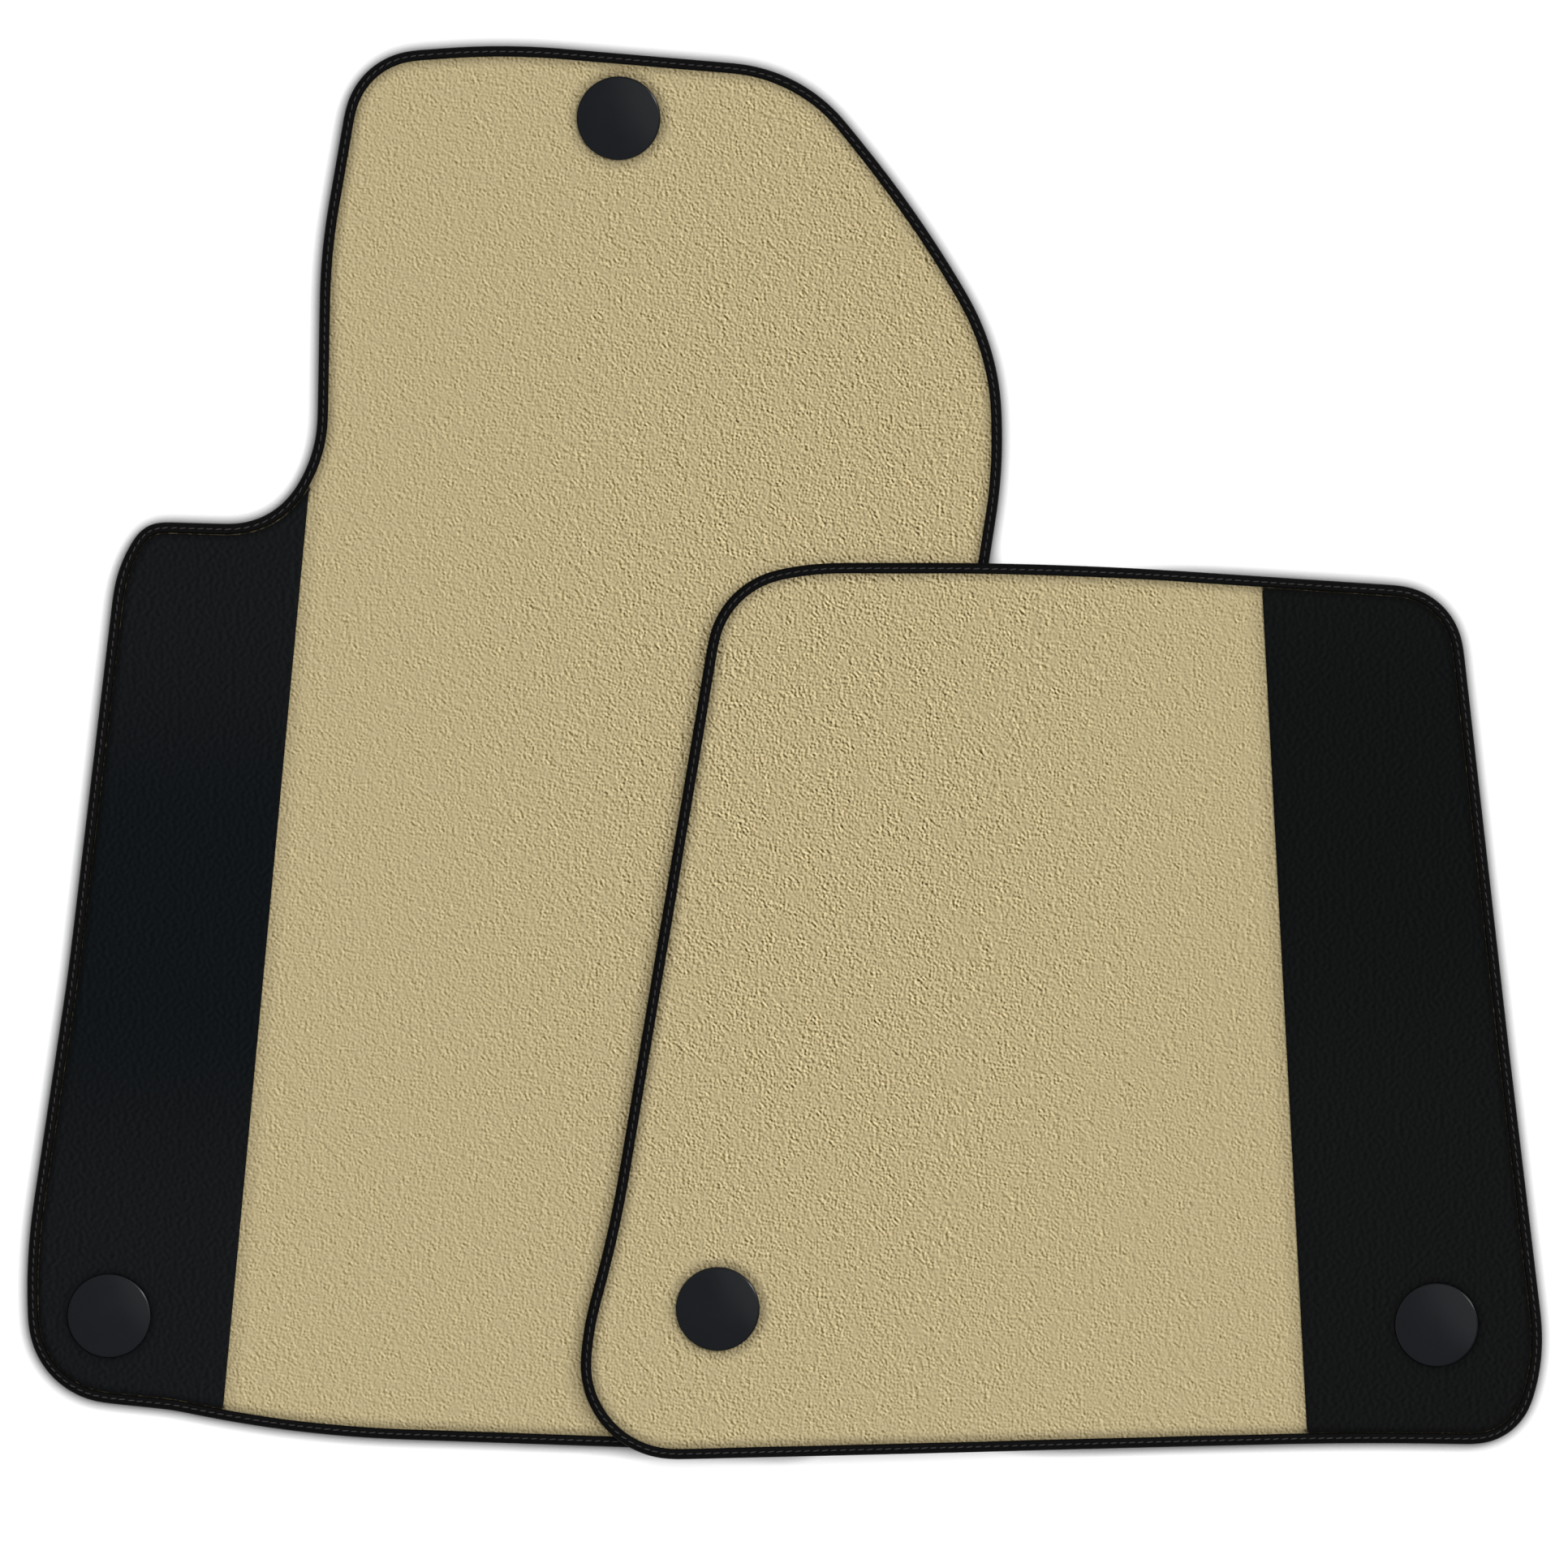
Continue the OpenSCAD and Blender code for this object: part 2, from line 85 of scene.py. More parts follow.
def face_normals(points, tri):
    a, b, c = (points[tri[:, k]] for k in range(3))
    n = np.cross(b - a, c - a)
    return n / np.maximum(np.linalg.norm(n, axis=1), 1e-15)[:, None]


def area_of(loop):
    x, y = loop[:, 0], loop[:, 1]
    return 0.5 * float(np.sum(x * np.roll(y, -1) - np.roll(x, -1) * y))


def upper_outline(name):
    """The loop of largest area round a node's upward faces, as points in 3-D that run counterclockwise."""
    points, tri = triangles_of(name)
    upward = 0.5
    up = tri[face_normals(points, tri)[:, 2] > upward]
    edges = set(map(tuple, np.vstack([up[:, [0, 1]], up[:, [1, 2]], up[:, [2, 0]]]).tolist()))
    after = {i: j for i, j in edges if (j, i) not in edges}
    loops = []
    while after:
        start, at = after.popitem()
        loop = [start]
        while at != start and at in after:
            loop.append(at)
            at = after.pop(at)
        loops.append(points[loop])
    return max(loops, key=area_of)


def resampled(loop, step):
    closed = np.vstack([loop, loop[:1]])
    along = np.r_[0, np.cumsum(np.linalg.norm(np.diff(closed[:, :2], axis=0), axis=1))]
    count = round(along[-1] / step)
    at = np.arange(count) * along[-1] / count
    return np.stack([np.interp(at, along, closed[:, k]) for k in range(2)], axis=1)


class Outline:
    """A smooth closed outline in plan, which runs counterclockwise."""

    def __init__(self, loop, blur):
        fine = resampled(loop, OUTLINE_STEP)
        gain = np.exp(-2 * (math.pi * np.fft.fftfreq(len(fine), OUTLINE_STEP) * blur) ** 2)
        self.points = np.real(np.fft.ifft(np.fft.fft(fine, axis=0) * gain[:, None], axis=0))
        ahead = np.roll(self.points, -1, axis=0) - np.roll(self.points, 1, axis=0)
        ahead /= np.linalg.norm(ahead, axis=1)[:, None]
        self.inward = np.stack([-ahead[:, 1], ahead[:, 0]], axis=1)
        step = np.linalg.norm(np.roll(self.points, -1, axis=0) - self.points, axis=1)
        self.along = np.r_[0, np.cumsum(step)]
        self.length = self.along[-1]
        self.area = area_of(self.points)
        self.tree = KDTree(len(self.points))
        for k, p in enumerate(self.points):
            self.tree.insert((p[0], p[1], 0), k)
        self.tree.balance()

    def at(self, s, depth):
        """Points at distances s along the outline and depth inwards from it."""
        s = np.mod(s, self.length)
        wrap = np.r_[np.arange(len(self.points)), 0]
        p = np.stack([np.interp(s, self.along, self.points[wrap, k]) for k in range(2)], axis=-1)
        n = np.stack([np.interp(s, self.along, self.inward[wrap, k]) for k in range(2)], axis=-1)
        n /= np.linalg.norm(n, axis=-1)[..., None]
        return p + n * np.asarray(depth)[..., None]

    def row(self, depth, step):
        """A closed row of points at one depth, every other one set in so that no three are in line."""
        k = np.arange(round(self.length / step))
        return self.at(k * self.length / len(k), depth + ROW_STAGGER * (k % 2))

    def depth(self, xy):
        """How far inside the outline each point lies, negative outside."""
        found = np.array([self.tree.find((x, y, 0))[1] for x, y in xy], dtype=int)
        return np.sum((xy - self.points[found]) * self.inward[found], axis=1)


def lift_of(name):
    """A function that gives the height of a mat's underside over the floor at points in plan."""
    points, tri = triangles_of(name)
    n = face_normals(points, tri)
    steep, level = 0.9, 0.99999
    slanted = (n[:, 2] > steep) & (n[:, 2] < level)
    if not slanted.any():
        return lambda xy: np.zeros(len(xy))
    heading = n[slanted, :2].sum(axis=0)
    heading /= np.linalg.norm(heading)
    edge = upper_outline(name)
    u, z = edge[:, :2] @ heading, edge[:, 2] - edge[:, 2].min()
    order = np.argsort(u)
    step, blur, margin = 1 * MM, 7, 0.05
    grid = np.arange(u.min() - margin, u.max() + margin, step)
    profile = np.interp(grid, u[order], z[order])
    reach = 3 * blur
    taps = np.exp(-0.5 * (np.arange(-reach, reach + 1) / blur) ** 2)
    padded = np.pad(profile, reach, mode="edge")
    profile = np.convolve(padded, taps / taps.sum(), mode="valid")
    return lambda xy: np.interp(np.asarray(xy) @ heading, grid, profile)


def noise(xy, cell, seed):
    """Smooth random values from -1 to 1 over the plane, one for each cell of that width and height."""
    size, origin = 512, 4096
    lattice = np.random.default_rng(seed).uniform(-1, 1, (size, size))
    p = np.asarray(xy) / np.asarray(cell) + origin
    i = np.floor(p).astype(int)
    f = p - i
    f = f * f * (3 - 2 * f)
    (x0, y0), (x1, y1) = (i % size).T, ((i + 1) % size).T
    low = lattice[x0, y0] * (1 - f[:, 0]) + lattice[x1, y0] * f[:, 0]
    high = lattice[x0, y1] * (1 - f[:, 0]) + lattice[x1, y1] * f[:, 0]
    return low * (1 - f[:, 1]) + high * f[:, 1]


def hex_grid(outline, step, seed=None):
    """Points of a triangular grid over the outline's box, each moved at random if there is a seed."""
    jitter = 0.3
    low, high = outline.points.min(axis=0), outline.points.max(axis=0)
    rows = np.arange(low[1], high[1], step * math.sqrt(0.75))
    columns = np.arange(low[0], high[0], step)
    x = columns[None, :] + np.where(np.arange(len(rows)) % 2, step / 2, 0)[:, None]
    xy = np.stack([x, np.broadcast_to(rows[:, None], x.shape)], axis=-1).reshape(-1, 2)
    if seed is not None:
        xy = xy + np.random.default_rng(seed).uniform(-jitter, jitter, xy.shape) * step
    return xy


def ring(centre, radius, count):
    """A clockwise circle, as the edge of a hole."""
    turn = -2 * math.pi * np.arange(count) / count
    return np.asarray(centre) + radius * np.stack([np.cos(turn), np.sin(turn)], axis=1)


def gap_to(loop, xy):
    """Distance from each point to the nearest side of a loop."""
    side = np.roll(loop, -1, axis=0) - loop
    reach = xy[:, None] - loop
    t = np.clip((reach * side).sum(axis=2) / (side**2).sum(axis=1), 0, 1)
    return np.linalg.norm(reach - t[..., None] * side, axis=2).min(axis=1)


def from_nearest(centres, xy):
    """Distance from each point to the nearest of the centres."""
    return np.min(np.linalg.norm(xy[:, None] - centres[None], axis=2), axis=1)


def smoothstep(low, high, x):
    t = np.clip((x - low) / (high - low), 0, 1)
    return t * t * (3 - 2 * t)


def brightness(dark, low, high, x):
    """Climbs from dark to 1 as x goes from low to high."""
    return dark + (1 - dark) * smoothstep(low, high, x)


def outside(tri, count):
    """Triangles outside the loop of the first count points: those behind its edges and what they reach."""
    owner = {}
    for k in np.flatnonzero((tri < count).all(axis=1)).tolist():
        a, b, c = tri[k].tolist()
        owner.update({(a, b): k, (b, c): k, (c, a): k})
    reached = [k for (a, b), k in owner.items() if (b + 1) % count == a]
    gone = set(reached)
    while reached:
        a, b, c = tri[reached.pop()].tolist()
        for p, q in ((a, b), (b, c), (c, a)):
            on_loop = (p + 1) % count == q or (q + 1) % count == p
            k = owner.get((q, p))
            if not on_loop and k is not None and k not in gone:
                gone.add(k)
                reached.append(k)
    return sorted(gone)


def surface(loops, inner):
    """Points and triangles of the area inside the first loop and outside the others."""
    points = np.vstack([*loops, inner])
    edges, start, holes = [], 0, []
    for loop in loops:
        count = len(loop)
        edges += [(start + k, start + (k + 1) % count) for k in range(count)]
        holes.append((start, start + count))
        start += count
    everything, tolerance = 0, 1e-9
    found = delaunay_2d_cdt([Vector(p) for p in points], edges, [], everything, tolerance, False)
    tri = np.array(found[2])
    keep = np.ones(len(tri), bool)
    for low, high in holes[1:]:
        keep &= ~((tri >= low) & (tri < high)).all(axis=1)
    keep[outside(tri, len(loops[0]))] = False
    return np.array([tuple(p) for p in found[0]]), tri[keep]


def new_object(name, points, faces, smooth_below=40):
    mesh = bpy.data.meshes.new(name)
    mesh.from_pydata(np.asarray(points).tolist(), [], faces)
    mesh.validate()
    mesh.polygons.foreach_set("use_smooth", np.ones(len(mesh.polygons), bool))
    mesh.set_sharp_from_angle(angle=math.radians(smooth_below))
    obj = bpy.data.objects.new(name, mesh)
    bpy.context.scene.collection.objects.link(obj)
    return obj


def solid(name, loops, over, top, under, bottom):
    """A closed sheet between two height functions, with its own points on the upper and the lower side."""
    upper, upper_tri = surface(loops, over)
    lower, lower_tri = surface(loops, under)
    count = len(upper)
    points = np.vstack([np.c_[upper, top(upper)], np.c_[lower, bottom(lower)]])
    faces = upper_tri.tolist() + (lower_tri[:, ::-1] + count).tolist()
    start = 0
    for loop in loops:
        for k in range(len(loop)):
            a, b = start + k, start + (k + 1) % len(loop)
            faces.append((a, a + count, b + count, b))
        start += len(loop)
    return new_object(name, points, faces)


def with_shade(obj, shade):
    """Stores the painted shade of the piece at each of its points, as a brightness from a function of the
    plan.
    """
    co = np.empty(len(obj.data.vertices) * 3)
    obj.data.vertices.foreach_get("co", co)
    values = shade(co.reshape(-1, 3)[:, :2]).astype(np.float32)
    obj.data.attributes.new("shade", "FLOAT", "POINT").data.foreach_set("value", values)
    return obj


def dress(obj, node, body, material):
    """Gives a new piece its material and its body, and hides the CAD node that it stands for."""
    obj.data.materials.append(material)
    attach(obj, body)
    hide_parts(node)
    return obj


class Graph:
    """The nodes of a material or a world."""

    def __init__(self, owner):
        owner.use_nodes = True
        self.tree = owner.node_tree

    def add(self, kind, inputs=(), **fields):
        node = self.tree.nodes.new("ShaderNode" + kind)
        for key, value in fields.items():
            setattr(node, key, value)
        for key, value in dict(inputs).items():
            self.put(value, node.inputs[key])
        return node

    def put(self, value, socket):
        if isinstance(value, bpy.types.NodeSocket):
            self.tree.links.new(value, socket)
        else:
            socket.default_value = value

    def math(self, how, a, b=0):
        node = self.add("Math", operation=how)
        self.put(a, node.inputs[0])
        self.put(b, node.inputs[1])
        return node.outputs[0]


class Material(Graph):
    """A material's nodes, with its Principled shader as .shader."""

    def __init__(self, name, **constants):
        self.material = bpy.data.materials.new(name)
        super().__init__(self.material)
        self.shader = self.tree.nodes["Principled BSDF"]
        for key, value in constants.items():
            self.shader.inputs[key.replace("_", " ")].default_value = value

    def place(self, scale=(1, 1, 1), uv=None, location=(0, 0, 0)):
        """Coordinates in metres times scale plus location, from the object or from a named UV map."""
        if uv:
            source = self.add("UVMap", uv_map=uv).outputs[0]
        else:
            source = self.add("TexCoord").outputs["Object"]
        return self.add("Mapping", {"Vector": source, "Scale": scale, "Location": location}).outputs[0]

    def noise(self, place, scale, detail=2.0, roughness=0.5):
        inputs = {"Vector": place, "Scale": scale, "Detail": detail, "Roughness": roughness}
        return self.add("TexNoise", inputs).outputs[0]

    def wave(self, place, scale, distortion, direction):
        inputs = {"Vector": place, "Scale": scale, "Distortion": distortion}
        return self.add("TexWave", inputs, bands_direction=direction).outputs[1]

    def ramp(self, value, stops):
        node = self.add("ValToRGB", {"Fac": value})
        ramp = node.color_ramp
        while len(ramp.elements) < len(stops):
            ramp.elements.new(0.5)
        for element, (at, colour) in zip(ramp.elements, stops):
            element.position = at
            element.color = (*colour, 1)
        return node.outputs[0]

    def mix(self, how, amount, a, b):
        node = self.add("Mix", data_type="RGBA", blend_type=how)
        self.put(amount, node.inputs[0])
        self.put(a, node.inputs[6])
        self.put(b, node.inputs[7])
        return node.outputs[2]

    def span(self, value, low, high):
        """A value from 0 to 1, spread over low to high."""
        return self.add("MapRange", {"Value": value, "To Min": low, "To Max": high}).outputs[0]

    def tufts(self, scale, slant):
        """Tufts as a height, and its drop towards slant, which the pile and panel colours turn into
        painted light and shade.
        """
        height = self.noise(self.place(), scale, detail=0.0)
        beside = self.noise(self.place(location=slant), scale, detail=0.0)
        return height, self.math("SUBTRACT", height, beside)

    def bump(self, height, distance, strength, under=None):
        inputs = {"Height": height, "Distance": distance, "Strength": strength}
        if under is not None:
            inputs["Normal"] = under
        return self.add("Bump", inputs).outputs[0]

    def shaded(self, colour):
        """A colour darkened by the painted shade in the mesh's shade attribute."""
        shade = self.add("Attribute", attribute_name="shade").outputs["Fac"]
        return self.add("VectorMath", {0: colour, "Scale": shade}, operation="SCALE").outputs[0]

    def finish(self, colour, roughness, normal):
        self.put(colour, self.shader.inputs["Base Color"])
        self.put(roughness, self.shader.inputs["Roughness"])
        self.put(normal, self.shader.inputs["Normal"])
        return self.material


# Tufts of the carpet: noise scale, the offset towards the side their painted light comes from, and their
# painted tones from the shaded to the lit side
PILE_GRAIN, PILE_LIGHT_OFFSET = 660, (0.575 * MM, 0.33 * MM, 0)
PILE_TONES = [
    (0.00, (0.039, 0.027, 0.006)),
    (0.25, (0.200, 0.154, 0.063)),
    (0.50, (0.395, 0.329, 0.185)),
    (1.00, (0.780, 0.653, 0.390)),
]

# The painted light and shade on the tufts is strongest round this place, in coordinates squeezed along Y,
# and fades with distance from it
PAINTED_RELIEF_SQUEEZE, PAINTED_RELIEF_MIDDLE = (1, 0.45, 1), (0.030, 0.0135, 0)
PAINTED_RELIEF_FADE = {"From Min": 0.04, "From Max": 0.27, "To Min": 1.39, "To Max": 0.74}


def carpet_material():
    """Beige pile with painted light from the right and painted shade on its tufts, strongest in the middle
    of the set.
    """
    g = Material("beige_pile", Specular_IOR_Level=0.05, Sheen_Weight=0.03, Sheen_Roughness=0.5)
    tufts, painted_relief = g.tufts(PILE_GRAIN, PILE_LIGHT_OFFSET)
    fibre = g.noise(g.place(), 1500, roughness=0.6)
    patch = g.noise(g.place(), 130)
    squeezed = g.place(PAINTED_RELIEF_SQUEEZE)
    away = g.add("VectorMath", {0: squeezed, 1: PAINTED_RELIEF_MIDDLE}, operation="DISTANCE").outputs["Value"]
    relief_falloff = g.add("MapRange", {"Value": away, **PAINTED_RELIEF_FADE}, interpolation_type="SMOOTHSTEP").outputs[0]
    strength = g.math("MULTIPLY", relief_falloff, g.span(patch, -0.3, 2.3))
    # Painted light and shade: a tuft is lit where it falls away towards the light and shaded where it
    # rises, more in some patches and in the middle
    lit = {"Value": g.math("MULTIPLY", painted_relief, strength), "From Min": -0.6, "From Max": 0.6}
    painted_tuft_shading = g.ramp(g.add("MapRange", lit).outputs[0], PILE_TONES)
    strand = g.ramp(fibre, [(0.3, (0.92, 0.91, 0.90)), (0.65, (1.0, 1.0, 1.0))])
    # Painted shade from the shade attribute darkens the pile beside the tape, the panel and the caps
    colour = g.shaded(g.mix("MULTIPLY", 1.0, painted_tuft_shading, strand))
    normal = g.bump(tufts, 0.5 * MM, 0.6, g.bump(fibre, 0.2 * MM, 0.3))
    return g.finish(colour, g.span(fibre, 0.85, 1.0), normal)


# Tufts of the side panels: noise scale, the offset towards the side their painted light comes from, and
# each mat's dark, middle and light tones of that painted light and shade
PANEL_GRAIN, PANEL_LIGHT_OFFSET = 400, (1.0 * MM, -0.14 * MM, 0)
PANEL_STOPS = (0.3, 0.5, 0.7)
PANEL_TONES = {
    "driver": [(0.0024, 0.0032, 0.0038), (0.0045, 0.0057, 0.0066), (0.0068, 0.0082, 0.0093)],
    "passenger": [(0.0025, 0.0029, 0.0032), (0.0046, 0.0052, 0.0056), (0.0070, 0.0075, 0.0079)],
}

# Painted sheen on the panels: where along Y each panel is darkest, the distances from there over which its
# tint changes to the sheen's, and both tints
PANEL_DARKEST = {"driver": -92 * MM, "passenger": -33 * MM}
PANEL_SHEEN_FADE = {"From Min": 45 * MM, "From Max": 180 * MM}
PANEL_SHEEN_TINTS = {
    "driver": [(0.89, 0.95, 0.98, 1), (1.47, 1.28, 1.24, 1)],
    "passenger": [(0.93, 0.92, 0.88, 1), (1.18, 1.12, 1.08, 1)],
}


def panel_material(mat):
    """Short black pile, a little bluer on the driver's mat, with painted light and shade on its tufts and
    a painted sheen that makes it paler and greyer towards the ends.
    """
    g = Material(mat + "_short_pile", Specular_IOR_Level=0.03, Sheen_Weight=0.01, Sheen_Roughness=0.6)
    tufts, painted_relief = g.tufts(PANEL_GRAIN, PANEL_LIGHT_OFFSET)
    fibre = g.noise(g.place(), 1600, roughness=0.6)
    # Painted light and shade on the tufts' sides sets the panel's tone
    painted_relief_level = g.add("MapRange", {"Value": painted_relief, "From Min": -1}).outputs[0]
    tone = g.ramp(painted_relief_level, list(zip(PANEL_STOPS, PANEL_TONES[mat])))
    strand = g.ramp(fibre, [(0.3, (0.75, 0.75, 0.75)), (0.7, (1.0, 1.0, 1.0))])
    # Painted sheen: the panel grows paler and greyer away from its darkest place along Y
    along = g.add("SeparateXYZ", {0: g.place()}).outputs["Y"]
    away = g.math("ABSOLUTE", g.math("SUBTRACT", along, PANEL_DARKEST[mat]))
    end_sheen = g.add("MapRange", {"Value": away, **PANEL_SHEEN_FADE}, interpolation_type="SMOOTHSTEP").outputs[0]
    tone = g.mix("MULTIPLY", 1.0, tone, g.mix("MIX", end_sheen, *PANEL_SHEEN_TINTS[mat]))
    colour = g.shaded(g.mix("MULTIPLY", 1.0, tone, strand))
    normal = g.bump(tufts, 0.3 * MM, 0.4, g.bump(fibre, 0.2 * MM, 0.4))
    return g.finish(colour, g.span(fibre, 0.8, 1.0), normal)


def tape_material():
    g = Material("black_woven_tape", Specular_IOR_Level=0.03)
    at = g.place(uv="tape")
    weave = g.math("MULTIPLY", g.wave(at, 260.0, 0.6, "X"), g.wave(at, 330.0, 0.4, "Y"))
    worn = g.noise(g.place(), 90, 3.0, 0.6)
    raised = g.math("MULTIPLY", weave, worn)
    colour = g.mix("MIX", raised, (0.0020, 0.0020, 0.0021, 1), (0.0085, 0.0083, 0.0081, 1))
    return g.finish(colour, g.span(worn, 0.5, 0.75), g.bump(weave, 0.12 * MM, 0.6))


def thread_material():
    g = Material("grey_thread", Specular_IOR_Level=0.2)
    fibre = g.noise(g.place(), 2600, 2.0, 0.6)
    shade = g.noise(g.place(), 60, 2.0, 0.5)
    colour = g.mix("MIX", shade, (0.018, 0.016, 0.016, 1), (0.036, 0.032, 0.032, 1))
    return g.finish(colour, g.span(fibre, 0.55, 0.8), g.bump(fibre, 0.15 * MM, 0.5))


def rubber_material():
    g = Material("black_rubber", Specular_IOR_Level=0.3)
    grain = g.noise(g.place(), 900, 3.0, 0.6)
    patch = g.noise(g.place(), 30, 3.0, 0.5)
    colour = g.mix("MIX", patch, (0.012, 0.012, 0.0125, 1), (0.024, 0.0235, 0.023, 1))
    return g.finish(colour, g.span(grain, 0.6, 0.9), g.bump(grain, 0.25 * MM, 0.5))


def cap_material(name, shine, smooth, rough):
    """Black plastic whose roughness goes from smooth to rough with its scuffs."""
    g = Material(name, Specular_IOR_Level=shine)
    grain = g.noise(g.place(), 2400, 2.0, 0.5)
    scuff = g.noise(g.place(), 70, 4.0, 0.6)
    colour = g.mix("MIX", scuff, (0.0010, 0.0020, 0.0036, 1), (0.0018, 0.0028, 0.0046, 1))
    return g.finish(colour, g.span(scuff, smooth, rough), g.bump(grain, 0.04 * MM, 0.3))


def socket_material():
    g = Material("matt_black_plastic", Specular_IOR_Level=0.3)
    grain = g.noise(g.place(), 1500, 2.0, 0.5)
    scuff = g.noise(g.place(), 120, 3.0, 0.6)
    colour = g.mix("MIX", scuff, (0.012, 0.012, 0.013, 1), (0.026, 0.026, 0.027, 1))
    return g.finish(colour, g.span(scuff, 0.5, 0.7), g.bump(grain, 0.05 * MM, 0.3))


def steel_material():
    g = Material("spring_steel", Metallic=1.0)
    brush = g.noise(g.place((300, 300, 3000)), 1.0, 2.0, 0.5)
    colour = g.ramp(brush, [(0.3, (0.40, 0.40, 0.41)), (0.7, (0.58, 0.58, 0.58))])
    return g.finish(colour, g.span(brush, 0.25, 0.45), g.bump(brush, 0.02 * MM, 0.3))


# The floor gets a painted contact shadow within this distance of what stands on it: share of open sky, and
# grey at that share
CONTACT_SHADOW_REACH = 8.5 * MM
CONTACT_SHADOW_GREYS = ((0.5, 0.23), (0.7, 0.49), (0.85, 0.73), (1.0, 1.0))


def floor_material():
    """Pale floor, lit a little from within, with a painted contact shadow close to whatever stands on it.
    """
    g = Material("pale_floor", Specular_IOR_Level=0.0, Emission_Strength=0.18)
    cloud = g.noise(g.place(), 3, 2.0, 0.5)
    pale = g.ramp(cloud, [(0.3, (0.93, 0.93, 0.93)), (0.7, (0.95, 0.95, 0.95))])
    sky = g.add("AmbientOcclusion", {"Distance": CONTACT_SHADOW_REACH}, samples=8).outputs["AO"]
    # Painted contact shadow, darker where less open sky is seen
    painted_contact_shadow = g.ramp(sky, [(share, (grey, grey, grey)) for share, grey in CONTACT_SHADOW_GREYS])
    colour = g.mix("MULTIPLY", 1.0, pale, painted_contact_shadow)
    g.put(colour, g.shader.inputs["Emission Color"])
    return g.finish(colour, g.span(cloud, 0.9, 1.0), g.bump(cloud, 0.1 * MM, 0.05))


BEIGE, TAPE, THREAD = carpet_material(), tape_material(), thread_material()
RUBBER, SOCKET, STEEL = rubber_material(), socket_material(), steel_material()
CAP_FACE = cap_material("satin_black_plastic", shine=0.074, smooth=0.08, rough=0.26)
CAP_BEVEL = cap_material("satin_black_bevel", shine=0.20, smooth=0.10, rough=0.38)


def site_of(name):
    """Middle of a fastener in plan."""
    low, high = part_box(name + "_cap")
    return np.array([(low[0] + high[0]) / 2, (low[1] + high[1]) / 2])


def hidden_grid(outline, centres, room):
    """Points for a surface that stays hidden, clear of the outline and with room round the centres."""
    xy = hex_grid(outline, HIDDEN_STEP)
    return xy[(outline.depth(xy) > HIDDEN_STEP / 2) & (from_nearest(centres, xy) > room)]


# Spacing of the pile's points, which keeps either carpet under 200000 faces, and of those under the panel
PILE_STEP = {"driver": 1.95 * MM, "passenger": 1.6 * MM}
WIDE_STEP = 8 * MM

# Depths from the mat's edge of the carpet's own edge, under the tape, and of its first points
PILE_EDGE, PILE_FIRST = 2.2 * MM, 3.6 * MM

# Depths under the panel at which the close points end and the wide ones begin
CLOSE_END, WIDE_START = 5 * MM, 7 * MM

# Radius of a fastener's hole in the carpet, and the radius that the carpet's points keep clear
PILE_HOLE, PILE_HOLE_ROOM = 12.2 * MM, 13.4 * MM

# Depths from the mat's edge between which the pile and its lumps rise to their full height
PILE_RISE, LUMP_RISE = (4.6 * MM, 9.5 * MM), (5.0 * MM, 6.5 * MM)

# Lumps of the pile: height, the share by which it varies, width of a patch of like height, width of a lump
LUMP, LUMP_VARIES, LUMP_PATCH, LUMP_WIDTH = 0.11 * MM, 0.45, 28 * MM, 4.5 * MM

# Shares of that height which change from point to point, and smoothly from lump to lump
LUMP_ROUGH, LUMP_SMOOTH = 0.8, 0.7

# Dent round a cap that sits on the carpet, and the radii between which it ends
DENT, DENT_ENDS = 1.95 * MM, (22.6 * MM, 28 * MM)

# Under the panel: depth where the lumps end, depth where the pile is held down, and the gap left there
LUMPS_END, HELD_FROM, HELD_GAP = 0.5 * MM, 0.6 * MM, 0.08 * MM

# Painted shade of the carpet beside the tape, the panel and a cap: its brightness there, and distances
# over which it climbs to 1
PILE_BY_TAPE = (0.45, -1.5 * MM, 6.5 * MM)
PILE_BY_PANEL = (0.80, 0, 10 * MM)
PILE_BY_CAP = (0.62, 0, 7.5 * MM)

# Strip of carpet between tape and panel: its width, how far past the panel it reaches, and its brightness
# under the painted shade there
STRIP_W, STRIP_PAST, STRIP_SHADE = 2 * MM, 1.2 * MM, 0.10


